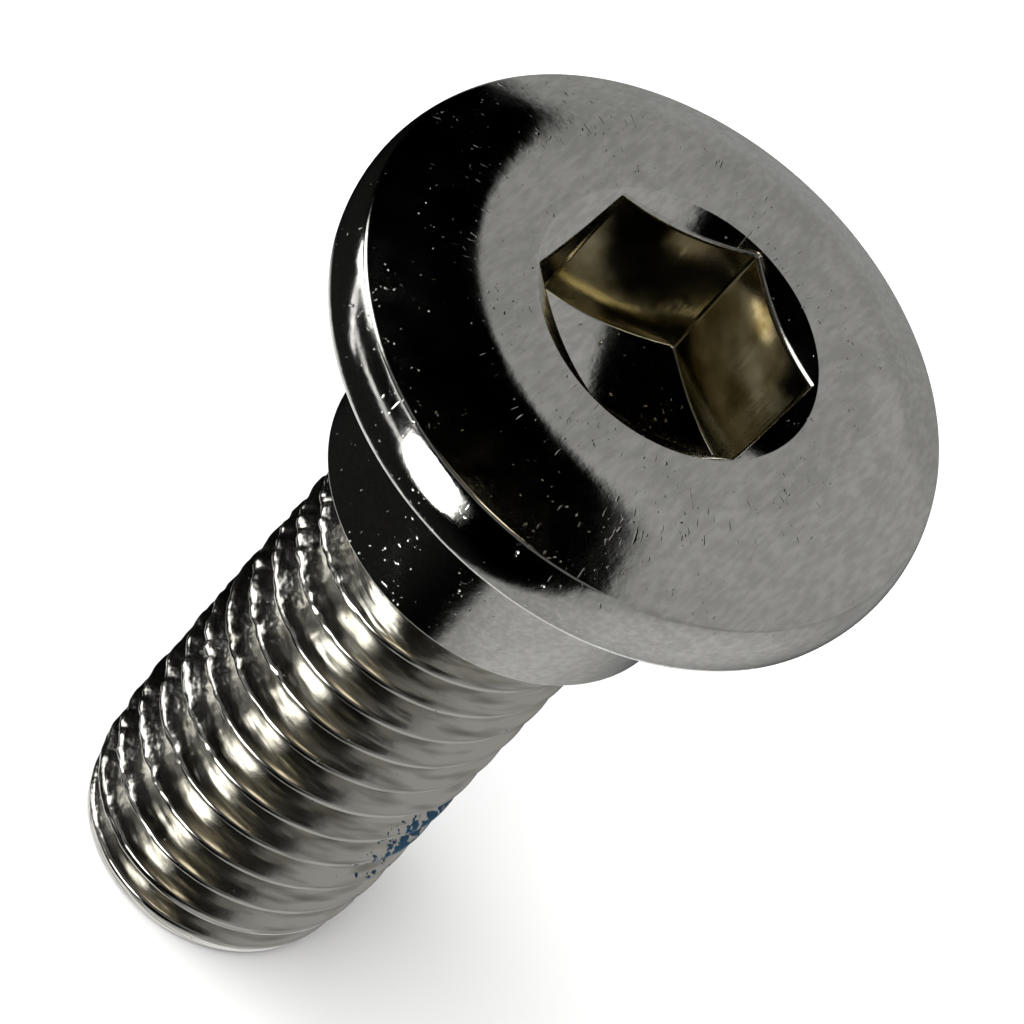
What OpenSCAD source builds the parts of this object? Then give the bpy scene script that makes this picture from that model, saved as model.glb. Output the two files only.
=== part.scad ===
// Shoulder screw with a low bevelled head, a hex socket and a metric thread.
// All sizes are in millimetres. The origin is the centre of the head's bearing face,
// +Z points out of the head along the screw's axis, and the shank runs down from there.

/* [Head] */
// Largest diameter of the head, round its bulged rim
head_d = 16; // [14.5:0.1:20]
// Height of the head above its bearing face
head_h = 2.85; // [2.3:0.05:3.4]
// Diameter of the flat face inside the bevel
face_d = 11.8; // [10:0.1:12.5]
// Drop of the bevel from the flat face down to the rim
bevel_h = 1.05; // [0.7:0.05:1.3]
// Rounding that blends the flat face into the bevel
face_round = 3; // [0.5:0.1:4]
// Radius of the rim's bulge, seen from the side
bulge_round = 2.4; // [1.8:0.1:4]
// Height of the bulge's widest line above the bearing face
bulge_h = 0.8; // [0.5:0.05:1.1]
// Rounding of the edge between the bevel and the rim
rim_round = 0.2; // [0.05:0.05:0.5]
// Rounding of the edge between the rim and the bearing face
seat_round = 0.2; // [0.05:0.05:0.4]

/* [Hex socket] */
// Width across the flats of the socket
socket_af = 6.35; // [5:0.05:6.5]
// Depth of the socket's corners from the flat face to the edge of its floor
socket_depth = 4.15; // [3:0.05:5]
// Full angle of the conical floor that the punch leaves
floor_angle = 126; // [110:2:150]
// Diameter of the countersink at the socket's mouth
mouth_d = 7.6; // [7.4:0.1:8.4]
// Full angle of the countersink
mouth_angle = 120; // [90:5:140]

/* [Shoulder] */
// Diameter of the plain shoulder below the head
shoulder_d = 9.8; // [8.8:0.1:12]
// Length of the shoulder from the bearing face to its lower edge
shoulder_len = 5.9; // [3:0.1:15]
// Chamfer on the shoulder's lower edge
shoulder_chamfer = 0.15; // [0.05:0.05:0.4]

/* [Thread] */
// Diameter over the crests of the thread
thread_d = 7.9; // [7.6:0.05:8.2]
// Rise of the thread in one turn
thread_pitch = 1.25; // [1:0.05:1.5]
// Length of the threaded end from the shoulder to the tip
thread_len = 16.1; // [8:0.1:40]
// Turns over which the thread fades in below the shoulder
fade_turns = 1; // [0.5:0.25:2]
// Angle about the axis at which the thread starts
thread_start = 45; // [0:5:355]

/* [Tip] */
// Diameter of the flat end of the tip
tip_d = 7; // [6.4:0.1:7.4]
// Length of the short cone behind the flat end
tip_len = 0.85; // [0.4:0.05:1.2]
// Diameter at the back of the short cone
lead_d = 7.55; // [7.45:0.05:7.6]
// Length of the slender cone that leads up to the full thread
lead_len = 1.85; // [1:0.05:3]

/* [Hidden] */

eps = 0.01;
curve_fn = 96;
thread_fn = 24;

head_r = head_d / 2;
face_r = face_d / 2;
shoulder_r = shoulder_d / 2;
thread_r = thread_d / 2;
thread_end = -shoulder_len - thread_len;
lead_end = thread_end + tip_len;

// Profile of an ISO metric screw thread. The flanks form a sharp triangle, and the crests are
// cut off one eighth of its height below their points, the roots one sixth above theirs.
flank_half_angle = 30;
triangle_h = thread_pitch / (2 * tan(flank_half_angle));
thread_depth = triangle_h * (1 - 1 / 8 - 1 / 6);
groove_mouth = thread_pitch * (1 - 1 / 8);
groove_over = 0.1;

// Centre of the rim's bulge, and the radius at which the bevel meets it
bulge_centre = [head_r - bulge_round, bulge_h];
bevel_r = bulge_centre[0] + sqrt(pow(bulge_round, 2) - pow(head_h - bevel_h - bulge_h, 2));
bevel_normal = 90 - atan2(bevel_h, bevel_r - face_r);

// The point of a circle that lies in the given direction from its centre
function on_arc(centre, radius, angle) = centre + radius * [cos(angle), sin(angle)];

// The slice of a circle outside the line that joins two of its points
module arc_slice(start, end, centre, radius) {
    middle = (start + end) / 2 - centre;
    intersection() {
        polygon([start, centre + middle * 2 * radius / norm(middle), end]);
        translate(centre) circle(r = radius, $fn = curve_fn);
    }
}

// Half section of the head, from the axis out to the rim
module head_section() {
    bevel_out = [cos(bevel_normal), sin(bevel_normal)];
    face_corner = [face_r, head_h];
    face_centre = face_corner - face_round * [tan((90 - bevel_normal) / 2), 1];
    face_in = [face_centre[0], head_h];
    face_out = on_arc(face_centre, face_round, bevel_normal);

    // Each edge rounding touches the bulge from inside, in the direction of its centre
    rim_reach = (face_corner - bulge_centre) * bevel_out - rim_round;
    rim_angle = bevel_normal - acos(rim_reach / (bulge_round - rim_round));
    rim_centre = on_arc(bulge_centre, bulge_round - rim_round, rim_angle);
    rim_in = on_arc(rim_centre, rim_round, bevel_normal);
    rim_out = on_arc(bulge_centre, bulge_round, rim_angle);

    seat_angle = asin((seat_round - bulge_h) / (bulge_round - seat_round));
    seat_centre = on_arc(bulge_centre, bulge_round - seat_round, seat_angle);
    seat_out = on_arc(bulge_centre, bulge_round, seat_angle);
    seat_in = [seat_centre[0], 0];

    polygon([[0, 0], seat_in, seat_out, rim_out, rim_in, face_out, face_in, [0, head_h]]);
    arc_slice(face_in, face_out, face_centre, face_round);
    arc_slice(rim_in, rim_out, rim_centre, rim_round);
    arc_slice(rim_out, seat_out, bulge_centre, bulge_round);
    arc_slice(seat_out, seat_in, seat_centre, seat_round);
}

// Half section of the shank: the shoulder, the thread's blank and the tapered tip
module shank_section() {
    polygon([
        [0, eps],
        [shoulder_r, eps],
        [shoulder_r, shoulder_chamfer - shoulder_len],
        [shoulder_r - shoulder_chamfer, -shoulder_len],
        [thread_r, -shoulder_len],
        [thread_r, lead_end + lead_len],
        [lead_d / 2, lead_end],
        [tip_d / 2, thread_end],
        [0, thread_end],
    ]);
}

// The turned blank: head and shank as one solid of revolution
module blank() {
    rotate_extrude($fn = curve_fn) head_section();
    rotate_extrude($fn = curve_fn) shank_section();
}

// The punched hexagon with its conical floor and its countersunk mouth
module socket() {
    sides = 6;
    corner_r = socket_af / 2 / cos(180 / sides);
    floor_h = corner_r / tan(floor_angle / 2);
    mouth_depth = mouth_d / 2 / tan(mouth_angle / 2);
    over = 1;
    over_r = over * tan(mouth_angle / 2);

    translate([0, 0, head_h - socket_depth])
        cylinder(r = corner_r, h = socket_depth + over, $fn = sides);
    intersection() {
        translate([0, 0, head_h - socket_depth - floor_h])
            cylinder(r = corner_r, h = floor_h + eps, $fn = sides);
        translate([0, 0, head_h - socket_depth - floor_h])
            cylinder(r1 = 0, r2 = corner_r, h = floor_h, $fn = curve_fn);
    }
    translate([0, 0, head_h - mouth_depth])
        cylinder(r1 = 0, r2 = mouth_d / 2 + over_r, h = mouth_depth + over, $fn = curve_fn);
}

// The helical groove between the thread's crests, right-handed about +Z
module thread_groove() {
    steps = ceil(thread_fn * (thread_len / thread_pitch + 1));

    // Share of the full depth at a step, which fades in below the shoulder
    function share(i) = min(1, i / (thread_fn * fade_turns));
    // The ring of four corners at a step: two outside the crests and two at the root
    function ring(i) =
        let (
            angle = thread_start - 360 * i / thread_fn,
            z = -shoulder_len - thread_pitch * i / thread_fn,
            outer = thread_r + groove_over,
            half_mouth = groove_mouth / 2 + groove_over * tan(flank_half_angle),
            depth = max(eps, (thread_depth + groove_over) * share(i)),
            root = outer - depth,
            half_root = half_mouth - depth * tan(flank_half_angle),
            section = [[outer, half_mouth], [root, half_root], [root, -half_root], [outer, -half_mouth]]
        )
        [for (c = section) [c[0] * cos(angle), c[0] * sin(angle), z + c[1]]];

    points = [for (i = [0:steps]) each ring(i)];
    sides = [for (i = [0:steps - 1]) for (k = [0:3])
        let (a = 4 * i + k, b = 4 * i + (k + 1) % 4)
        each [[a, a + 4, b], [b, a + 4, b + 4]]];
    ends = [[0, 1, 2, 3], [4 * steps + 3, 4 * steps + 2, 4 * steps + 1, 4 * steps]];
    polyhedron(points, concat(sides, ends));
}

module screw() {
    color("silver")
        difference() {
            blank();
            socket();
            thread_groove();
        }
}

screw();
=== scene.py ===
"""Builds the looks of a nickel-plated shoulder screw with a hex socket around its CAD part.

The screw is one closed mesh: rings of points follow its turned section, a hexagonal socket is
sunk into the head, and the thread is wound from rows that climb with the helix.
All lengths are in metres. The origin is the centre of the head's bearing face, +Z up.
"""

import math

import bmesh
import bpy
import numpy as np
from mathutils import Matrix, Vector, noise


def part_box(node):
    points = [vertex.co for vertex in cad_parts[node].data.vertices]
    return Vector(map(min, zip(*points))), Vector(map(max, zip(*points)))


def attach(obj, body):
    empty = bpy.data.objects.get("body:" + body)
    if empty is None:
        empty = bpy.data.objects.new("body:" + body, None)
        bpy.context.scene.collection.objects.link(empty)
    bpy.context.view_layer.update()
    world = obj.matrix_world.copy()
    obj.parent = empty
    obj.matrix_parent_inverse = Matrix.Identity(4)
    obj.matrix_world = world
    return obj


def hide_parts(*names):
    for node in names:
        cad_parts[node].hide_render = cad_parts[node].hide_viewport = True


bl_info = {
    "name": "Shoulder Screw",
    "version": (1, 0, 0),
    "blender": (4, 5, 0),
    "location": "View3D > Sidebar > Screw",
    "description": "Builds a plated hex socket shoulder screw and the stage it stands on",
    "category": "Object",
}

MM = 0.001
NODE = "screw"
BODY = "root"

# A metric thread: its flanks lean 30 degrees, so that each runs along the axis by the slope for
# every unit that it rises, and half a crest is one sixteenth of the pitch wide
FLANK_ANGLE = math.radians(30)
FLANK_SLOPE = math.tan(FLANK_ANGLE)
HALF_CREST = 1 / 16

# Angle from a corner of the hexagon to the middle of its next side
HALF_SIDE = math.pi / 6

# Points of the mesh that are closer than this become one
WELD_GAP = 0.0002 * MM

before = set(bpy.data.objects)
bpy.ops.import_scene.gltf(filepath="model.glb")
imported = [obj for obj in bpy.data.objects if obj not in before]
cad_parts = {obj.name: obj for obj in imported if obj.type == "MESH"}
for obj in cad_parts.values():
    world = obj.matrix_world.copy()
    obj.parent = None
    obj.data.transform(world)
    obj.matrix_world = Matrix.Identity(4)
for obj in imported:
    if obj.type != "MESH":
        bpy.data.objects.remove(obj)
LOW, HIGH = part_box(NODE)


# Sizes and colours


def linear(colour):
    """Linear RGBA of an sRGB hex colour such as "#8A7F6C"."""
    parts = [int(colour[i : i + 2], 16) / 255 for i in (1, 3, 5)]
    straight = [c / 12.92 if c <= 0.04045 else ((c + 0.055) / 1.055) ** 2.4 for c in parts]
    return (*straight, 1.0)


def tint(name, description, colour):
    """A colour property whose default is given as an sRGB hex value."""
    return bpy.props.FloatVectorProperty(
        name=name,
        description=description,
        default=linear(colour),
        size=4,
        min=0.0,
        max=1.0,
        subtype="COLOR",
    )


def share(name, description, value):
    """A property that runs from 0 to 1."""
    return bpy.props.FloatProperty(
        name=name,
        description=description,
        default=value,
        min=0.0,
        max=1.0,
        subtype="FACTOR",
    )


def length(name, description, millimetres):
    """A length property whose default is given in millimetres."""
    return bpy.props.FloatProperty(
        name=name,
        description=description,
        default=millimetres * MM,
        min=0.001 * MM,
        precision=5,
        unit="LENGTH",
        subtype="DISTANCE",
    )


def angle(name, description, degrees):
    """An angle property whose default is given in degrees."""
    return bpy.props.FloatProperty(
        name=name,
        description=description,
        default=math.radians(degrees),
        unit="ROTATION",
        subtype="ANGLE",
    )


class HeadProperties(bpy.types.PropertyGroup):
    """Sizes of the head."""

    radius: length("Radius", "Largest radius, round the bulged rim", HIGH.x / MM)
    height: length("Height", "Height of the flat face above the bearing face", HIGH.z / MM)
    face_radius: length("Face radius", "Radius of the flat face inside the bevel", 5.9)
    bevel_height: length("Bevel height", "Drop of the bevel from face to rim", 1.05)
    face_round: length("Face rounding", "Blend from the flat face to the bevel", 3.0)
    bulge_round: length("Bulge radius", "Radius of the rim's bulge in side view", 2.4)
    bulge_height: length("Bulge height", "Height of the widest line of the rim", 0.8)
    rim_round: length("Rim rounding", "Rounding between the bevel and the rim", 0.2)
    seat_round: length("Seat rounding", "Rounding between the rim and the bearing face", 0.2)


class SocketProperties(bpy.types.PropertyGroup):
    """Sizes of the hexagonal socket."""

    across_flats: length("Across flats", "Width of the hexagon across its flats", 6.35)
    depth: length("Depth", "Depth of the corners down to the edge of the floor", 4.15)
    floor_angle: angle("Floor angle", "Full angle of the conical floor", 126)
    mouth_radius: length("Mouth radius", "Radius of the countersink at the face", 3.8)
    mouth_angle: angle("Mouth angle", "Full angle of the countersink", 120)
    corner_round: length("Corner rounding", "Rounding between two walls", 0.12)
    floor_round: length("Floor rounding", "Rounding between the walls and the floor", 0.1)
    brink_round: length("Brink rounding", "Rounding between the walls and the countersink", 0.22)
    mouth_round: length("Mouth rounding", "Rounding between the countersink and the face", 0.11)


class ShankProperties(bpy.types.PropertyGroup):
    """Sizes of the shoulder, the thread and the tip."""

    shoulder_radius: length("Shoulder radius", "Radius of the plain shoulder", 4.9)
    shoulder_length: length("Shoulder length", "Length from the bearing face", 5.9)
    chamfer: length("Chamfer", "Chamfer on the shoulder's lower edge", 0.15)
    fillet: length("Fillet", "Fillet between the bearing face and the shoulder", 0.15)
    edge_round: length("Edge rounding", "Rounding of the chamfer's upper edge", 0.08)
    foot_round: length("Foot rounding", "Rounding of the chamfer's lower edge", 0.05)
    thread_radius: length("Thread radius", "Radius over the crests", 3.95)
    pitch: length("Pitch", "Rise of the thread in one turn", 1.25)
    root_round: length("Root rounding", "Rounding at the bottom of the groove", 0.18)
    crest_round: length("Crest rounding", "Softening of the crests' edges", 0.04)
    end: length("End", "Distance from the bearing face to the tip's flat end", -LOW.z / MM)
    start: angle("Start", "Angle about the axis at which the groove starts", 45)
    fade_turns: bpy.props.FloatProperty(
        name="Fade",
        description="Turns over which the thread deepens below the shoulder",
        default=1.0,
        min=0.1,
    )
    tip_radius: length("Tip radius", "Radius of the flat end", 3.5)
    tip_length: length("Tip length", "Length of the short cone at the end", 0.85)
    lead_radius: length("Lead radius", "Radius at the back of the short cone", 3.775)
    lead_length: length("Lead length", "Length of the slender cone behind it", 1.85)


class FinishProperties(bpy.types.PropertyGroup):
    """The plating, the wear on the thread and the dried thread-locking film."""

    nickel: tint("Nickel", "Plating on the head and the shoulder", "#D8D7D1")
    dull_nickel: tint("Dull nickel", "The same plating where it is clouded", "#C4C3BD")
    roughness: share("Roughness", "Roughness of the smooth plated faces", 0.07)
    cloud_size: length("Cloud size", "Width of the dull clouds in the plating", 1.111)
    streak_length: length("Streak length", "Length of the fine streaks over them", 0.5)
    streak_width: length("Streak width", "Distance from one streak to the next", 0.1538)
    wave_length: length("Wave length", "Length of the plating's gentle waves", 0.4)
    wave_depth: length("Wave depth", "Height of these waves", 0.005)
    pit_spacing: length("Pit spacing", "Distance between pits in a cluster", 0.1538)
    pit_depth: length("Pit depth", "Depth of the deepest pits", 0.017)
    scratch_spacing: length("Scratch spacing", "Distance between scratches round the face", 0.118)
    scratch_length: length("Scratch length", "Length of a scratch and the gap after it", 0.4545)
    scratch_depth: length("Scratch depth", "Depth of the short scratches", 0.008)

    socket_nickel: tint("Socket nickel", "Yellowed plating on the socket's walls", "#E2DCC8")
    socket_shade: tint("Socket shade", "The same plating where it is darkest", "#9C9270")
    socket_roughness: share("Socket roughness", "Roughness of the socket's walls", 0.11)
    stain_size: length("Stain size", "Width of the stains on the walls", 1.25)
    punch_spacing: length("Punch mark spacing", "Distance between marks of the punch", 0.2)
    punch_length: length("Punch mark length", "Length of these marks down the walls", 1.667)
    punch_depth: length("Punch mark depth", "Depth of these marks", 0.003)

    thread_nickel: tint("Thread nickel", "Plating on the rolled thread", "#CCCAC2")
    thread_grime: tint("Thread grime", "The same plating under the dirt in its lines", "#8C887C")
    thread_roughness: share("Thread roughness", "Roughness of the rolled thread", 0.19)
    line_spacing: length("Line spacing", "Distance between lines round the thread", 0.1333)
    line_length: length("Line length", "Length over which a line changes its depth", 1.667)
    line_depth: length("Line depth", "Depth of the drawn lines round the thread", 0.016)
    scuffed_side: angle("Scuffed side", "Side of the thread whose crests were knocked", -56)
    scuff_width: length("Scuff width", "Width of the dents in the crests", 0.4)
    scuff_depth: length("Scuff depth", "Depth of the deepest dents in the crests", 0.12)
    dent_width: length("Dent width", "Width of the small dents between them", 0.5)
    dent_depth: length("Dent depth", "Depth of the small dents between them", 0.05)

    film: tint("Film", "Thread-locking film where it is thick", "#0F4763")
    film_dots: tint("Film dots", "The same film where it dried to dots", "#0D2444")
    film_roughness: share("Film roughness", "Roughness of the dried film", 0.45)
    film_side: angle("Film side", "Side of the thread that the film is on", 88)
    film_middle: length("Film middle", "Distance from the bearing face to its middle", 15.9)
    film_reach: length("Film reach", "Distance from its middle to its ends", 2.4)
    dot_spacing: length("Dot spacing", "Distance from one dot of the film to the next", 0.1818)


class StageProperties(bpy.types.PropertyGroup):
    """The floor, the lights and the camera."""

    camera_place: bpy.props.FloatVectorProperty(
        name="Camera place",
        description="Where the camera stands",
        default=(0.1290085, 0.0099720, 0.1264923),
        unit="LENGTH",
        subtype="TRANSLATION",
    )
    camera_target: bpy.props.FloatVectorProperty(
        name="Camera target",
        description="Point in the middle of the picture",
        default=(0.002732, 0.000321, -0.002820),
        precision=5,
        unit="LENGTH",
        subtype="TRANSLATION",
    )
    camera_roll: angle("Camera roll", "Turn of the camera about its line of sight", 42.6)
    camera_lens: bpy.props.FloatProperty(
        name="Lens",
        description="Focal length of the camera in millimetres",
        default=266.7,
        min=1.0,
    )
    floor_size: length("Floor size", "Side of the square floor", 4000)
    floor_paint: tint("Floor paint", "Matt paint of the floor", "#F6F6F6")
    softbox_place: bpy.props.FloatVectorProperty(
        name="Softbox place",
        description="Where the softbox over the floor hangs",
        default=(0.3, -0.3, 0.9),
        unit="LENGTH",
        subtype="TRANSLATION",
    )
    softbox_size: length("Softbox size", "Side of the square softbox", 1500)
    softbox_power: bpy.props.FloatProperty(
        name="Softbox power",
        description="Power of the softbox in watts",
        default=25.0,
        min=0.0,
        unit="POWER",
    )


# Turned section


def arc(centre, radius, start, stop, steps):
    """Points (r, z) along an arc of the section; the angles are those of its normals."""
    turn = np.linspace(start, stop, steps + 1)
    return np.stack([centre[0] + radius * np.cos(turn), centre[1] + radius * np.sin(turn)], -1)


def head_arcs(head):
    """The arcs of the head's section, from the flat face round to the bearing face."""
    right = math.pi / 2
    bulge = np.array([head.radius - head.bulge_round, head.bulge_height])
    drop = head.height - head.bevel_height - head.bulge_height
    bevel_radius = bulge[0] + math.sqrt(head.bulge_round**2 - drop**2)
    bevel = right - math.atan2(head.bevel_height, bevel_radius - head.face_radius)
    outward = np.array([math.cos(bevel), math.sin(bevel)])

    corner = np.array([head.face_radius, head.height])
    face = corner - head.face_round * np.array([math.tan((right - bevel) / 2), 1.0])

    # Each edge rounding touches the bulge from inside, in the direction of its own centre
    reach = (corner - bulge) @ outward - head.rim_round
    rim_turn = bevel - math.acos(reach / (head.bulge_round - head.rim_round))
    rim_way = np.array([math.cos(rim_turn), math.sin(rim_turn)])
    rim = bulge + (head.bulge_round - head.rim_round) * rim_way
    inset = head.bulge_round - head.seat_round
    seat_turn = math.asin((head.seat_round - head.bulge_height) / inset)
    seat = bulge + inset * np.array([math.cos(seat_turn), math.sin(seat_turn)])

    return [
        arc(face, head.face_round, right, bevel, steps=12),
        arc(rim, head.rim_round, bevel, rim_turn, steps=6),
        arc(bulge, head.bulge_round, rim_turn, seat_turn, steps=16),
        arc(seat, head.seat_round, seat_turn, -right, steps=8),
    ]


def rounded(path, radii, steps=6):
    """Rows along a path (corners, columns, 2) whose inner corners are rounded off."""
    rows = [path[0]]
    for before, corner, after, radius in zip(path, path[1:], path[2:], radii):
        into = before - corner
        out = after - corner
        into /= np.linalg.norm(into, axis=-1, keepdims=True)
        out /= np.linalg.norm(out, axis=-1, keepdims=True)
        half = np.arccos(np.clip(np.sum(into * out, -1, keepdims=True), -1, 1)) / 2
        middle = into + out
        middle /= np.linalg.norm(middle, axis=-1, keepdims=True)
        centre = corner + middle * radius / np.sin(half)
        first = corner + into * radius / np.tan(half) - centre
        last = corner + out * radius / np.tan(half) - centre
        turn = math.pi - 2 * half
        for part in np.linspace(0, 1, steps + 1):
            reach = np.sin((1 - part) * turn) * first + np.sin(part * turn) * last
            rows.append(centre + reach / np.sin(turn))
    rows.append(path[-1])
    return rows


def hexagon_radius(socket, turn):
    """Distance from the axis to the wall of the socket in each direction.

    A circle rounds each corner, up to the direction in which it touches the flat walls.
    """
    flat = socket.across_flats / 2
    radius = socket.corner_round
    from_corner = np.abs((turn + HALF_SIDE) % (2 * HALF_SIDE) - HALF_SIDE)
    centre = (flat - radius) / math.cos(HALF_SIDE)
    touch = math.atan2(radius * math.sin(HALF_SIDE), centre + radius * math.cos(HALF_SIDE))
    wall = flat / np.cos(HALF_SIDE - from_corner)
    inside = np.minimum(from_corner, touch)
    rounding = centre * np.cos(inside) + np.sqrt(radius**2 - (centre * np.sin(inside)) ** 2)
    return np.where(from_corner < touch, rounding, wall)


def socket_rows(socket, head, turn):
    """Rows from the middle of the socket's floor up its walls to the flat face."""
    wall = hexagon_radius(socket, turn)
    corner = socket.across_flats / 2 / math.cos(HALF_SIDE)
    floor_rise = 1 / math.tan(socket.floor_angle / 2)
    mouth_rise = 1 / math.tan(socket.mouth_angle / 2)
    edge = head.height - socket.depth
    still = np.ones_like(turn)
    # How far outside the mouth the last row lies
    margin = 0.2 * MM

    apex = np.stack([0 * still, (edge - corner * floor_rise) * still], -1)
    floor = np.stack([wall, edge - (corner - wall) * floor_rise], -1)
    brink = np.stack([wall, head.height - (socket.mouth_radius - wall) * mouth_rise], -1)
    mouth = np.stack([socket.mouth_radius * still, head.height * still], -1)
    face = mouth + np.array([margin, 0])
    edges = [socket.floor_round, socket.brink_round, socket.mouth_round]
    return rounded(np.stack([apex, floor, brink, mouth, face]), edges)


def shoulder_rows(shank, turn):
    """Rows from the bearing face down the shoulder to where the thread starts."""
    foot = -shank.shoulder_length
    # How far outside the shoulder the first row lies
    margin = 0.6 * MM
    section = [
        (shank.shoulder_radius + margin, 0),
        (shank.shoulder_radius, 0),
        (shank.shoulder_radius, foot + shank.chamfer),
        (shank.shoulder_radius - shank.chamfer, foot),
        (shank.thread_radius, foot),
    ]
    path = np.array(section)[:, None, :] * np.ones((1, len(turn), 1))
    return rounded(path, [shank.fillet, shank.edge_round, shank.foot_round])


# Thread


def tip_radius_at(shank, z):
    """Radius of the turned blank at each height: the thread's cylinder and the two cones."""
    heights = [
        -shank.end,
        -shank.end + shank.tip_length,
        -shank.end + shank.tip_length + shank.lead_length,
    ]
    return np.interp(z, heights, [shank.tip_radius, shank.lead_radius, shank.thread_radius])


def thread_rows(shank, turn):
    """Rows that climb with the helix, from above the shoulder's foot to below the tip.

    Each row has its place on the way from the middle of a crest, over the crest's edge, to the
    bottom of the groove. Returns the rows and how many of them make one turn of the thread.
    """
    pitch = shank.pitch
    half = pitch / 2
    over_crest = (0.0, 0.5, 0.85, 1.0, 1.0, 1.0, 1.0, 1.0, 1.0, 1.0)
    down_flank = (0.0, 0.0, 0.0, 0.05, 0.15, 0.4, 0.65, 0.78, 0.89, 1.0)
    places = list(zip(over_crest, down_flank))
    back = places[-2:0:-1]
    foot = -shank.shoulder_length
    crest = foot + half + pitch * (turn - shank.start) / (2 * math.pi)
    first = math.ceil((foot + pitch - crest.min()) / pitch)
    last = math.ceil((crest.max() + shank.end + pitch) / pitch)
    rows = []
    for count in range(-first, last):
        upper = crest - pitch * count
        lower = upper - pitch
        for middle, way, stops in ((upper, -1, places), (lower, 1, back)):
            blank = tip_radius_at(shank, middle)
            land = pitch * HALF_CREST + (shank.thread_radius - blank) * FLANK_SLOPE
            for over, down in stops:
                z = middle + way * (land * over + (half - land) * down)
                rows.append(thread_point(shank, z, crest))
    return rows, len(places) + len(back)


def thread_point(shank, z, crest):
    """Section points of the thread's surface at heights given for each direction.

    The groove deepens below the shoulder, slowly at first, and the blank's cones cut the crests
    at the tip.
    """
    z = np.clip(z, -shank.end, -shank.shoulder_length)
    pitch = shank.pitch
    from_crest = np.abs((z - crest + pitch / 2) % pitch - pitch / 2)
    from_root = pitch / 2 - from_crest
    valley = shank.thread_radius - (pitch / 2 - pitch * HALF_CREST) / FLANK_SLOPE
    bend = shank.root_round * math.cos(FLANK_ANGLE)
    sunk = np.sqrt(np.maximum(shank.root_round**2 - from_root**2, 0))
    bottom = valley + 2 * shank.root_round - sunk
    profile = np.where(from_root < bend, bottom, valley + from_root / FLANK_SLOPE)

    blank = tip_radius_at(shank, z)
    cut = (blank + profile - np.sqrt((blank - profile) ** 2 + shank.crest_round**2)) / 2
    below = (-shank.shoulder_length - z) / (pitch * shank.fade_turns)
    deepening = np.clip(below, 0, 1) ** 1.5
    return np.stack([blank - deepening * (blank - cut), z], -1)


# Mesh


def columns(step, beside_corner):
    """Directions about the axis, given in degrees: even steps, and closer ones by each corner."""
    even = np.arange(0, 360, step)
    corners = np.arange(0, 360, 60)[:, None] + np.array(beside_corner)
    return np.radians(np.unique(np.concatenate([even, corners.ravel() % 360])))


def grid(rows, turn, shift=0):
    """Points and faces of rows that close round the axis, shifted where a helix closes."""
    section = np.stack(rows)
    height, width = section.shape[:2]
    radius = section[..., 0]
    points = np.stack(
        [radius * np.cos(turn), radius * np.sin(turn), section[..., 1]], -1
    ).reshape(-1, 3)
    faces = []
    for column in range(width):
        beside = (column + 1) % width
        slip = shift if beside == 0 else 0
        for row in range(max(0, slip), height - 1):
            faces.append(
                (
                    row * width + column,
                    (row + 1) * width + column,
                    (row + 1 - slip) * width + beside,
                    (row - slip) * width + beside,
                )
            )
    return points, faces


def knock_crests(work, shank, finish):
    """Dents the crests of the thread on the side where they were knocked.

    The dents are deepest on that side and fade out round the thread and towards both its ends.
    """
    side = Vector((math.cos(finish.scuffed_side), math.sin(finish.scuffed_side)))
    # Cosines of the angles from that side at which the dents end and are at their deepest
    ending, deepest = 0.6, 0.95
    upper_fade, lower_fade = 2 * MM, 0.4 * MM
    crest_height = 0.5 * MM
    flat_end = 0.01 * MM
    # The noise runs from -1 to 1, and every part of it above this becomes a dent
    level = -0.15
    for vert in work.verts:
        below = -shank.shoulder_length - vert.co.z
        above_tip = vert.co.z + shank.end
        radius = vert.co.xy.length
        height = 1 - (shank.thread_radius - radius) / crest_height
        if below <= 0 or above_tip <= flat_end or height < 0:
            continue
        facing = max(0, (vert.co.xy.dot(side) / radius - ending) / (deepest - ending))
        fade = min(1, below / upper_fade, above_tip / lower_fade, facing)
        dent = max(0, noise.noise(vert.co / finish.scuff_width) - level)
        vert.co.xy *= 1 - finish.scuff_depth * fade * height * dent / radius


def give_finishes(mesh, socket, shank):
    """Gives the socket's walls the second material and the thread and the tip the third."""
    # An upright wall has less than this of its normal along the axis
    upright = 0.2
    for face in mesh.polygons:
        in_socket = face.center.xy.length < socket.mouth_radius
        if face.center.z < -shank.shoulder_length:
            face.material_index = 2
        elif in_socket and abs(face.normal.z) < upright:
            face.material_index = 1


def screw_mesh(head, socket, shank, finish):
    """The whole screw as one closed mesh."""
    turn = columns(1.5, (-0.95, -0.6, -0.3, 0.3, 0.6, 0.95))
    still = np.ones((len(turn), 1))
    upper = socket_rows(socket, head, turn)
    for points in head_arcs(head):
        upper += [point * still for point in points]
    upper += shoulder_rows(shank, turn)
    helix, per_turn = thread_rows(shank, turn)
    rim = helix[-1]
    centre = np.stack([0 * turn, np.full_like(turn, -shank.end)], -1)

    mesh = bpy.data.meshes.new("screw_plated")
    work = bmesh.new()
    for rows, shift in ((upper, 0), (helix, per_turn), ([rim, centre], 0)):
        points, faces = grid(rows, turn, shift)
        made = [work.verts.new(p) for p in points]
        for face in faces:
            work.faces.new([made[i] for i in face])
    bmesh.ops.remove_doubles(work, verts=work.verts, dist=WELD_GAP)
    knock_crests(work, shank, finish)
    bmesh.ops.recalc_face_normals(work, faces=work.faces)
    for face in work.faces:
        face.smooth = True
    open_edges = sum(1 for edge in work.edges if not edge.is_manifold)
    work.to_mesh(mesh)
    work.free()
    if open_edges:
        raise RuntimeError(f"the screw's mesh isn't closed: {open_edges} open edges")
    return mesh


# Materials


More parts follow.
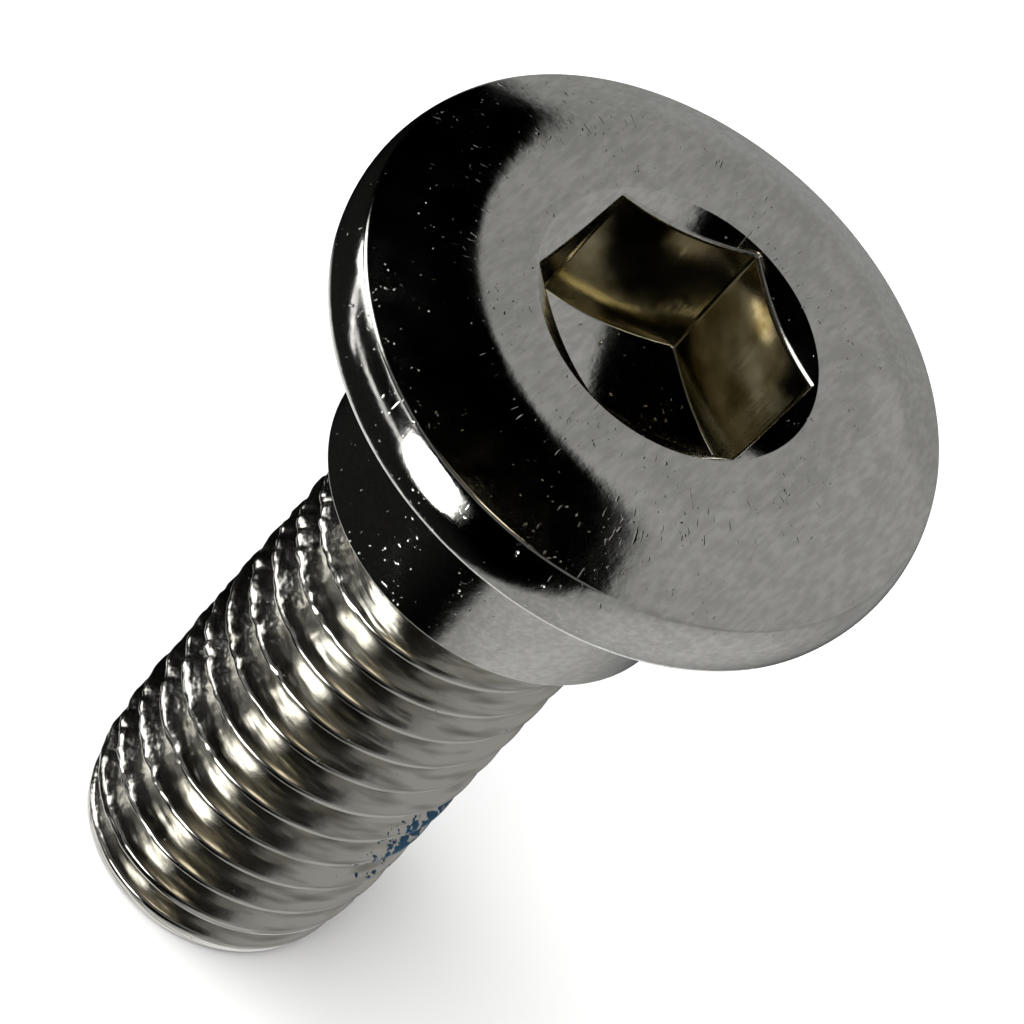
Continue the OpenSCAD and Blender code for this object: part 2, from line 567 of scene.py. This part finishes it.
def direction(azimuth, elevation):
    """Unit vector of a direction given in degrees."""
    turn, lift = math.radians(azimuth), math.radians(elevation)
    return Vector(
        (math.cos(turn) * math.cos(lift), math.sin(turn) * math.cos(lift), math.sin(lift))
    )


def add_node(tree, kind, inputs=None, output=0, **settings):
    """Adds a node, sets it up, fills its inputs and returns one of its outputs, if it has any.

    An input is given by name or number, and its value is a number, a colour or another output.
    """
    node = tree.nodes.new(kind)
    for name, value in settings.items():
        setattr(node, name, value)
    for key, value in (inputs or {}).items():
        if isinstance(value, bpy.types.NodeSocket):
            tree.links.new(value, node.inputs[key])
        else:
            node.inputs[key].default_value = value
    return node.outputs[output] if node.outputs else None


def empty_material(name):
    """A material whose node tree is empty."""
    material = bpy.data.materials.new(name)
    material.use_nodes = True
    material.node_tree.nodes.clear()
    return material


def in_millimetres(tree):
    """The surface point in the part's own frame, in millimetres.

    A pattern drawn over it has a scale of 1 mm over the real size of its marks.
    """
    place = add_node(tree, "ShaderNodeTexCoord", output="Object")
    return add_node(
        tree, "ShaderNodeVectorMath", {0: place, 1: (1 / MM,) * 3}, operation="MULTIPLY"
    )


# How much more wear there is where the plating is clouded
CLUSTERING = 0.35

# The point on the axis, in millimetres, that the scratches run away from, and its distance from
# the bend between the flat face and the bevel
SCRATCH_CENTRE = (0, 0, 8)
BEND_DISTANCE = 7.8


def pits(tree, place, clouds, finish):
    """Height of small pits, in clusters where the plating is clouded, in millimetres."""
    pores = add_node(
        tree,
        "ShaderNodeTexNoise",
        {"Vector": place, "Scale": MM / finish.pit_spacing, "Detail": 1.0},
    )
    pores = add_node(
        tree, "ShaderNodeMath", {0: clouds, 1: CLUSTERING, 2: pores}, operation="MULTIPLY_ADD"
    )
    return add_node(
        tree,
        "ShaderNodeMapRange",
        {
            "Value": pores,
            "From Min": 0.90,
            "From Max": 1.10,
            "To Min": 0.0,
            "To Max": -finish.pit_depth / MM,
        },
    )


def scratches(tree, place, clouds, finish, head):
    """Height of short scratches that run out from the axis, in millimetres."""
    x = add_node(tree, "ShaderNodeSeparateXYZ", {0: place}, output="X")
    y = add_node(tree, "ShaderNodeSeparateXYZ", {0: place}, output="Y")
    turn = add_node(tree, "ShaderNodeMath", {0: y, 1: x}, operation="ARCTAN2")
    across = add_node(
        tree,
        "ShaderNodeMath",
        {0: turn, 1: head.face_radius / finish.scratch_spacing},
        operation="MULTIPLY",
    )
    outward = add_node(
        tree,
        "ShaderNodeVectorMath",
        {0: place, 1: SCRATCH_CENTRE},
        output="Value",
        operation="DISTANCE",
    )
    along = add_node(
        tree, "ShaderNodeMath", {0: outward, 1: MM / finish.scratch_length}, operation="MULTIPLY"
    )
    polar = add_node(tree, "ShaderNodeCombineXYZ", {"X": across, "Y": along})
    hairs = add_node(tree, "ShaderNodeTexNoise", {"Vector": polar, "Scale": 1.0, "Detail": 1.0})
    hairs = add_node(
        tree, "ShaderNodeMath", {0: clouds, 1: CLUSTERING, 2: hairs}, operation="MULTIPLY_ADD"
    )

    # Most scratches lie within 0.6 mm of the bend between the flat face and the bevel
    bend = add_node(tree, "ShaderNodeMath", {0: outward, 1: BEND_DISTANCE}, operation="SUBTRACT")
    bend = add_node(tree, "ShaderNodeMath", {0: bend}, operation="ABSOLUTE")
    bend = add_node(
        tree,
        "ShaderNodeMapRange",
        {"Value": bend, "From Min": 0.0, "From Max": 0.6, "To Min": 0.07, "To Max": 0.0},
    )
    hairs = add_node(tree, "ShaderNodeMath", {0: hairs, 1: bend}, operation="ADD")

    # The socket's floor, which the punch pressed smooth, and the shank have none
    height = add_node(tree, "ShaderNodeSeparateXYZ", {0: place}, output="Z")
    clean = add_node(
        tree,
        "ShaderNodeMapRange",
        {"Value": height, "From Min": -1.0, "From Max": 0.0, "To Min": -0.2, "To Max": 0.0},
    )
    hairs = add_node(tree, "ShaderNodeMath", {0: hairs, 1: clean}, operation="ADD")
    return add_node(
        tree,
        "ShaderNodeMapRange",
        {
            "Value": hairs,
            "From Min": 0.90,
            "From Max": 1.02,
            "To Min": 0.0,
            "To Max": -finish.scratch_depth / MM,
        },
    )


def plating_colour(tree, place, clouds, finish):
    """Colour of the plating, duller in its clouds and in fine streaks that all run one way."""
    slow, fast = MM / finish.streak_length, MM / finish.streak_width
    stretched = add_node(
        tree, "ShaderNodeVectorMath", {0: place, 1: (slow, fast, fast)}, operation="MULTIPLY"
    )
    streaks = add_node(
        tree, "ShaderNodeTexNoise", {"Vector": stretched, "Scale": 1.0, "Detail": 5.0}
    )
    dullness = add_node(
        tree, "ShaderNodeMath", {0: clouds, 1: 0.6, 2: streaks}, operation="MULTIPLY_ADD"
    )
    dullness = add_node(
        tree, "ShaderNodeMapRange", {"Value": dullness, "From Min": 0.62, "From Max": 0.92}
    )
    return add_node(
        tree,
        "ShaderNodeMix",
        {0: dullness, 6: finish.nickel, 7: finish.dull_nickel},
        output=2,
        data_type="RGBA",
    )


def nickel_plate(finish, head):
    """Bright nickel plating over a cold-headed blank.

    It mirrors the room almost sharply. The gentle waves of the forging under the plating make
    the edges of each reflection ragged, and pits and short scratches catch light as specks.
    """
    material = empty_material("nickel_plated_steel")
    tree = material.node_tree
    place = in_millimetres(tree)
    clouds = add_node(
        tree,
        "ShaderNodeTexNoise",
        {"Vector": place, "Scale": MM / finish.cloud_size, "Detail": 5.0},
    )
    waves = add_node(
        tree,
        "ShaderNodeTexNoise",
        {"Vector": place, "Scale": MM / finish.wave_length, "Detail": 3.0},
    )
    relief = add_node(
        tree, "ShaderNodeMath", {0: waves, 1: finish.wave_depth / MM}, operation="MULTIPLY"
    )
    wear = pits(tree, place, clouds, finish), scratches(tree, place, clouds, finish, head)
    for marks in wear:
        relief = add_node(tree, "ShaderNodeMath", {0: relief, 1: marks}, operation="ADD")
    normal = add_node(tree, "ShaderNodeBump", {"Height": relief, "Distance": MM, "Strength": 1.0})
    rough = add_node(
        tree,
        "ShaderNodeMapRange",
        {
            "Value": clouds,
            "From Min": 0.35,
            "From Max": 0.7,
            "To Min": finish.roughness,
            "To Max": 2 * finish.roughness,
        },
    )
    metal = add_node(
        tree,
        "ShaderNodeBsdfPrincipled",
        {
            "Base Color": plating_colour(tree, place, clouds, finish),
            "Metallic": 1.0,
            "Roughness": rough,
            "Normal": normal,
        },
    )
    add_node(tree, "ShaderNodeOutputMaterial", {"Surface": metal})
    return material


def socket_nickel(finish):
    """Thin nickel plating on punched walls, yellowed by dried drawing oil.

    The walls mirror each other softly, in stains of olive and gold.
    """
    material = empty_material("yellowed_nickel_in_the_socket")
    tree = material.node_tree
    place = in_millimetres(tree)
    stains = add_node(
        tree,
        "ShaderNodeTexNoise",
        {"Vector": place, "Scale": MM / finish.stain_size, "Detail": 4.0},
    )
    depth = add_node(
        tree, "ShaderNodeMapRange", {"Value": stains, "From Min": 0.38, "From Max": 0.62}
    )
    colour = add_node(
        tree,
        "ShaderNodeMix",
        {0: depth, 6: finish.socket_nickel, 7: finish.socket_shade},
        output=2,
        data_type="RGBA",
    )

    # Marks of the punch that run down the walls
    slow, fast = MM / finish.punch_length, MM / finish.punch_spacing
    stretched = add_node(
        tree, "ShaderNodeVectorMath", {0: place, 1: (fast, fast, slow)}, operation="MULTIPLY"
    )
    marks = add_node(
        tree, "ShaderNodeTexNoise", {"Vector": stretched, "Scale": 1.0, "Detail": 2.0}
    )
    normal = add_node(
        tree, "ShaderNodeBump", {"Height": marks, "Distance": finish.punch_depth, "Strength": 1.0}
    )
    metal = add_node(
        tree,
        "ShaderNodeBsdfPrincipled",
        {
            "Base Color": colour,
            "Metallic": 1.0,
            "Roughness": finish.socket_roughness,
            "Normal": normal,
        },
    )
    add_node(tree, "ShaderNodeOutputMaterial", {"Surface": metal})
    return material


def drawn_lines(tree, place, finish):
    """Noise drawn out into lines that run round the thread."""
    slow, fast = MM / finish.line_length, MM / finish.line_spacing
    stretched = add_node(
        tree, "ShaderNodeVectorMath", {0: place, 1: (slow, slow, fast)}, operation="MULTIPLY"
    )
    return add_node(
        tree, "ShaderNodeTexNoise", {"Vector": stretched, "Scale": 1.0, "Detail": 1.5}
    )


def thread_relief(tree, place, lines, finish, shank):
    """Height of the thread's lines and small dents, in millimetres."""
    # The lines are four times as deep where the thread starts
    height = add_node(tree, "ShaderNodeSeparateXYZ", {0: place}, output="Z")
    foot = -shank.shoulder_length / MM
    line_depth = add_node(
        tree,
        "ShaderNodeMapRange",
        {
            "Value": height,
            "From Min": foot - 2.7,
            "From Max": foot - 0.7,
            "To Min": finish.line_depth / MM,
            "To Max": 4 * finish.line_depth / MM,
        },
    )
    lines = add_node(tree, "ShaderNodeMath", {0: lines, 1: line_depth}, operation="MULTIPLY")

    # The dents are at their full depth from 3.6 mm out on the scuffed side and shallow elsewhere
    scuffed = add_node(
        tree,
        "ShaderNodeVectorMath",
        {0: place, 1: direction(math.degrees(finish.scuffed_side), 0)},
        output="Value",
        operation="DOT_PRODUCT",
    )
    dent_depth = add_node(
        tree,
        "ShaderNodeMapRange",
        {
            "Value": scuffed,
            "From Min": 2.6,
            "From Max": 3.6,
            "To Min": 0.12 * finish.dent_depth / MM,
            "To Max": finish.dent_depth / MM,
        },
        interpolation_type="SMOOTHSTEP",
    )
    dents = add_node(
        tree,
        "ShaderNodeTexNoise",
        {"Vector": place, "Scale": MM / finish.dent_width, "Detail": 2.0},
    )
    dents = add_node(tree, "ShaderNodeMath", {0: dents, 1: dent_depth}, operation="MULTIPLY")
    return add_node(tree, "ShaderNodeMath", {0: lines, 1: dents}, operation="ADD")


def film_thickness(tree, place, finish):
    """How thick the film is, from 0 to 1: most in its middle, on its own side of the thread."""
    facing = add_node(
        tree,
        "ShaderNodeVectorMath",
        {0: place, 1: direction(math.degrees(finish.film_side), 0)},
        output="Value",
        operation="DOT_PRODUCT",
    )
    facing = add_node(
        tree, "ShaderNodeMapRange", {"Value": facing, "From Min": 3.2, "From Max": 3.8}
    )
    height = add_node(tree, "ShaderNodeSeparateXYZ", {0: place}, output="Z")
    gap = add_node(
        tree, "ShaderNodeMath", {0: height, 1: finish.film_middle / MM}, operation="ADD"
    )
    gap = add_node(tree, "ShaderNodeMath", {0: gap}, operation="ABSOLUTE")
    reach = add_node(
        tree,
        "ShaderNodeMapRange",
        {
            "Value": gap,
            "From Min": 0.3 * finish.film_reach / MM,
            "From Max": finish.film_reach / MM,
            "To Min": 1.0,
            "To Max": 0.0,
        },
    )
    return add_node(tree, "ShaderNodeMath", {0: facing, 1: reach}, operation="MULTIPLY")


def film_cover(tree, place, thickness, finish):
    """Where the film covers the metal: all over where it is thick, and dots where it is thin."""
    dots = add_node(
        tree,
        "ShaderNodeTexNoise",
        {"Vector": place, "Scale": MM / finish.dot_spacing, "Detail": 2.0},
    )
    cover = add_node(
        tree, "ShaderNodeMath", {0: thickness, 1: 0.34, 2: dots}, operation="MULTIPLY_ADD"
    )
    return add_node(
        tree, "ShaderNodeMapRange", {"Value": cover, "From Min": 0.75, "From Max": 0.8}
    )


def rolled_nickel(finish, shank):
    """Nickel plating on a rolled thread, with a dried blue thread-locking film on one side.

    The rolling dies leave drawn lines round the thread, and small dents on its scuffed side
    break the reflections up. The film is teal where it is thick and dries to dark dots.
    """
    material = empty_material("nickel_plated_rolled_thread")
    tree = material.node_tree
    place = in_millimetres(tree)
    lines = drawn_lines(tree, place, finish)
    relief = thread_relief(tree, place, lines, finish, shank)
    normal = add_node(tree, "ShaderNodeBump", {"Height": relief, "Distance": MM, "Strength": 1.0})

    thickness = film_thickness(tree, place, finish)
    cover = film_cover(tree, place, thickness, finish)
    blue = add_node(
        tree,
        "ShaderNodeMix",
        {0: thickness, 6: finish.film_dots, 7: finish.film},
        output=2,
        data_type="RGBA",
    )
    grime = add_node(
        tree, "ShaderNodeMapRange", {"Value": lines, "From Min": 0.5, "From Max": 0.78}
    )
    bare = add_node(
        tree,
        "ShaderNodeMix",
        {0: grime, 6: finish.thread_nickel, 7: finish.thread_grime},
        output=2,
        data_type="RGBA",
    )
    colour = add_node(
        tree, "ShaderNodeMix", {0: cover, 6: bare, 7: blue}, output=2, data_type="RGBA"
    )
    metallic = add_node(
        tree, "ShaderNodeMapRange", {"Value": cover, "To Min": 1.0, "To Max": 0.1}
    )
    rough = add_node(
        tree,
        "ShaderNodeMapRange",
        {"Value": cover, "To Min": finish.thread_roughness, "To Max": finish.film_roughness},
    )
    metal = add_node(
        tree,
        "ShaderNodeBsdfPrincipled",
        {"Base Color": colour, "Metallic": metallic, "Roughness": rough, "Normal": normal},
    )
    add_node(tree, "ShaderNodeOutputMaterial", {"Surface": metal})
    return material


# Stage


# The soft patches of light and shade in the room that the metal mirrors. Each has the way in which
# it joins the ones before it, the azimuth and elevation of its middle, how far its middle and its
# edge reach, all in degrees, and its brightness outside and inside. The first two paint the walls,
# the next three leave half of the room dark, with a shaded corner, and the last three are a pale
# patch below, a second window and a faint light on the dark half's floor.
ROOM_PATCHES = (
    ("ADD", (78, -35), (0, 45), 0.335, 0.55),
    ("ADD", (133, 37), (32, 43), 0.0, 0.07),
    ("MULTIPLY", (124.35, -11.7), (83.1, 88.9), 0.0, 1.0),
    ("MULTIPLY", (-120, -50), (31, 44), 1.0, 0.0),
    ("MULTIPLY", (-170, -55), (8, 36), 1.0, 0.3),
    ("MAXIMUM", (-170, -75), (24, 28), 0.0, 1.0),
    ("MAXIMUM", (-81, 18), (10, 25), 0.0, 3.4),
    ("MAXIMUM", (-80, -50), (15, 60), 0.0, 0.013),
)

# The bright frame of the room's window: start and end of each bar as azimuth and elevation in
# degrees, then its half width and softness in degrees and its brightness. The last bar is a dim
# wall above it.
WINDOW_BARS = (
    ((-20, -14), (-20, -31), 12, 1.5, 9.0),
    ((-72, -29), (-32, -27), 2.5, 1.5, 1.0),
    ((-86, -14), (-74, -36), 3, 1.5, 1.6),
    ((-92, -16), (-70, -7), 3.5, 1.5, 2.6),
    ((-66, -3), (-34, -2), 1.5, 1.0, 1.6),
    ((-50, 28), (42, 28), 13, 7, 0.15),
)


def window_bar(tree, place, start, end, radius, soft, strength):
    """A bright bar with round ends from one azimuth and elevation to another."""
    run = Vector((end[0] - start[0], end[1] - start[1], 0))
    offset = add_node(
        tree, "ShaderNodeVectorMath", {0: place, 1: (*start, 0)}, operation="SUBTRACT"
    )
    along = add_node(
        tree,
        "ShaderNodeVectorMath",
        {0: offset, 1: run / run.length_squared},
        output="Value",
        operation="DOT_PRODUCT",
    )
    along = add_node(tree, "ShaderNodeClamp", {0: along})
    nearest = add_node(
        tree, "ShaderNodeVectorMath", {0: run, "Scale": along}, operation="SCALE"
    )
    gap = add_node(
        tree,
        "ShaderNodeVectorMath",
        {0: offset, 1: nearest},
        output="Value",
        operation="DISTANCE",
    )
    return add_node(
        tree,
        "ShaderNodeMapRange",
        {
            "Value": gap,
            "From Min": radius - soft,
            "From Max": radius + soft,
            "To Min": strength,
            "To Max": 0.0,
        },
        interpolation_type="SMOOTHSTEP",
    )


def soft_patch(tree, way, middle, reach, low, high):
    """A round soft patch of the room: high in its middle and low outside its edge."""
    inner, outer = (math.cos(math.radians(turn)) for turn in reach)
    closeness = add_node(
        tree,
        "ShaderNodeVectorMath",
        {0: way, 1: direction(*middle)},
        output="Value",
        operation="DOT_PRODUCT",
    )
    return add_node(
        tree,
        "ShaderNodeMapRange",
        {
            "Value": closeness,
            "From Min": outer,
            "From Max": inner,
            "To Min": low,
            "To Max": high,
        },
        interpolation_type="SMOOTHSTEP",
    )


def studio_world():
    """A dark room with one pale half and a bright window, for the metal to mirror."""
    world = bpy.data.worlds.new("studio")
    world.use_nodes = True
    tree = world.node_tree
    tree.nodes.clear()
    way = add_node(tree, "ShaderNodeTexCoord", output="Generated")

    light = 0.0
    for operation, middle, reach, low, high in ROOM_PATCHES:
        patch = soft_patch(tree, way, middle, reach, low, high)
        light = add_node(tree, "ShaderNodeMath", {0: light, 1: patch}, operation=operation)

    # The window's bars, drawn by azimuth and elevation in degrees
    x = add_node(tree, "ShaderNodeSeparateXYZ", {0: way}, output="X")
    y = add_node(tree, "ShaderNodeSeparateXYZ", {0: way}, output="Y")
    z = add_node(tree, "ShaderNodeSeparateXYZ", {0: way}, output="Z")
    azimuth = add_node(tree, "ShaderNodeMath", {0: y, 1: x}, operation="ARCTAN2")
    elevation = add_node(tree, "ShaderNodeMath", {0: z}, operation="ARCSINE")
    place = add_node(tree, "ShaderNodeCombineXYZ", {"X": azimuth, "Y": elevation})
    place = add_node(
        tree,
        "ShaderNodeVectorMath",
        {0: place, 1: (math.degrees(1),) * 3},
        operation="MULTIPLY",
    )
    for bar in WINDOW_BARS:
        lit = window_bar(tree, place, *bar)
        light = add_node(tree, "ShaderNodeMath", {0: light, 1: lit}, operation="MAXIMUM")
    cool = add_node(tree, "ShaderNodeBackground", {"Color": (1, 1, 1, 1), "Strength": light})

    # Warm wood and lamplight high up in front, which the socket's walls catch
    glow = soft_patch(tree, way, (-12, 60), (4, 13), 0.0, 0.2)
    spot = soft_patch(tree, way, (3, 56), (4, 7.5), 0.0, 2.2)
    glow = add_node(tree, "ShaderNodeMath", {0: glow, 1: spot}, operation="MAXIMUM")
    warm = add_node(
        tree, "ShaderNodeBackground", {"Color": linear("#FFF0CE"), "Strength": glow}
    )
    room = add_node(tree, "ShaderNodeAddShader", {0: cool, 1: warm})

    # Behind the screw the picture shows plain white
    seen = add_node(tree, "ShaderNodeLightPath", output="Is Camera Ray")
    plain = add_node(tree, "ShaderNodeBackground", {"Color": (1, 1, 1, 1), "Strength": 1.0})
    shown = add_node(tree, "ShaderNodeMixShader", {0: seen, 1: room, 2: plain})
    add_node(tree, "ShaderNodeOutputWorld", {"Surface": shown})
    return world


def floor_paint(stage):
    """Matt white wall paint, rolled on, which has no gloss."""
    material = empty_material("matt_white_paint")
    tree = material.node_tree
    paint = add_node(
        tree,
        "ShaderNodeBsdfPrincipled",
        {"Base Color": stage.floor_paint, "Roughness": 0.9, "Specular IOR Level": 0.0},
    )
    add_node(tree, "ShaderNodeOutputMaterial", {"Surface": paint})
    return material


def add_floor(stage):
    """A plain pale floor that the metal doesn't mirror."""
    half = stage.floor_size / 2
    corners = [(x * half, y * half, LOW.z) for x, y in ((-1, -1), (1, -1), (1, 1), (-1, 1))]
    mesh = bpy.data.meshes.new("floor")
    mesh.from_pydata(corners, [], [(0, 1, 2, 3)])
    mesh.materials.append(floor_paint(stage))
    floor = bpy.data.objects.new("floor", mesh)
    floor.visible_glossy = False
    bpy.context.scene.collection.objects.link(floor)


def add_softbox(stage):
    """A square softbox over the floor, which doesn't show in the metal."""
    light = bpy.data.lights.new("softbox", "AREA")
    light.shape = "SQUARE"
    light.size = stage.softbox_size
    light.energy = stage.softbox_power
    lamp = bpy.data.objects.new("softbox", light)
    place = Vector(stage.softbox_place)
    aim = (-place).to_track_quat("-Z", "Y").to_matrix().to_4x4()
    lamp.matrix_world = Matrix.Translation(place) @ aim
    lamp.visible_glossy = False
    bpy.context.scene.collection.objects.link(lamp)


def add_camera(stage):
    """The camera at the photograph's viewing angle."""
    place, target = Vector(stage.camera_place), Vector(stage.camera_target)
    data = bpy.data.cameras.new("camera")
    data.lens = stage.camera_lens
    data.sensor_width = 36.0
    data.clip_start, data.clip_end = 0.001, 10.0
    camera = bpy.data.objects.new("camera", data)
    level = (target - place).to_track_quat("-Z", "Y").to_matrix().to_4x4()
    roll = Matrix.Rotation(stage.camera_roll, 4, "Z")
    camera.matrix_world = Matrix.Translation(place) @ level @ roll
    bpy.context.scene.collection.objects.link(camera)
    bpy.context.scene.camera = camera


# Operators


class SCREW_OT_build_screw(bpy.types.Operator):
    """Build the plated screw around its CAD part"""

    bl_idname = "screw.build_screw"
    bl_label = "Screw"

    def execute(self, context):
        scene = context.scene
        head, socket = scene.screw_head, scene.screw_socket
        shank, finish = scene.screw_shank, scene.screw_finish
        mesh = screw_mesh(head, socket, shank, finish)
        mesh.materials.append(nickel_plate(finish, head))
        mesh.materials.append(socket_nickel(finish))
        mesh.materials.append(rolled_nickel(finish, shank))
        give_finishes(mesh, socket, shank)
        screw = bpy.data.objects.new("screw_plated", mesh)
        scene.collection.objects.link(screw)
        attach(screw, BODY)
        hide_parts(NODE)
        return {"FINISHED"}


class SCREW_OT_build_stage(bpy.types.Operator):
    """Build the floor, the lights and the camera"""

    bl_idname = "screw.build_stage"
    bl_label = "Stage"

    def execute(self, context):
        stage = context.scene.screw_stage
        context.scene.world = studio_world()
        context.scene.view_settings.view_transform = "Standard"
        add_floor(stage)
        add_softbox(stage)
        add_camera(stage)
        return {"FINISHED"}


class SCREW_PT_sidebar(bpy.types.Panel):
    """Lists the screw's pieces and sizes in the 3D view's sidebar"""

    bl_idname = "SCREW_PT_sidebar"
    bl_label = "Shoulder Screw"
    bl_space_type = "VIEW_3D"
    bl_region_type = "UI"
    bl_category = "Screw"

    def draw(self, context):
        for operator, groups in STEPS:
            box = self.layout.box()
            box.operator(operator)
            for name in groups:
                for key in GROUPS[name].__annotations__:
                    box.prop(getattr(context.scene, name), key)


GROUPS = {
    "screw_head": HeadProperties,
    "screw_socket": SocketProperties,
    "screw_shank": ShankProperties,
    "screw_finish": FinishProperties,
    "screw_stage": StageProperties,
}
STEPS = (
    ("screw.build_screw", ("screw_head", "screw_socket", "screw_shank", "screw_finish")),
    ("screw.build_stage", ("screw_stage",)),
)
CLASSES = (*GROUPS.values(), SCREW_OT_build_screw, SCREW_OT_build_stage, SCREW_PT_sidebar)


def register():
    """Registers the classes and hangs the property groups on the scene."""
    for cls in CLASSES:
        bpy.utils.register_class(cls)
    for name, group in GROUPS.items():
        setattr(bpy.types.Scene, name, bpy.props.PointerProperty(type=group))


def unregister():
    """Takes away what register added."""
    for name in GROUPS:
        delattr(bpy.types.Scene, name)
    for cls in reversed(CLASSES):
        bpy.utils.unregister_class(cls)


def main():
    """Builds everything."""
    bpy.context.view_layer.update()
    register()
    bpy.ops.screw.build_screw()
    bpy.ops.screw.build_stage()


if __name__ == "__main__":
    main()
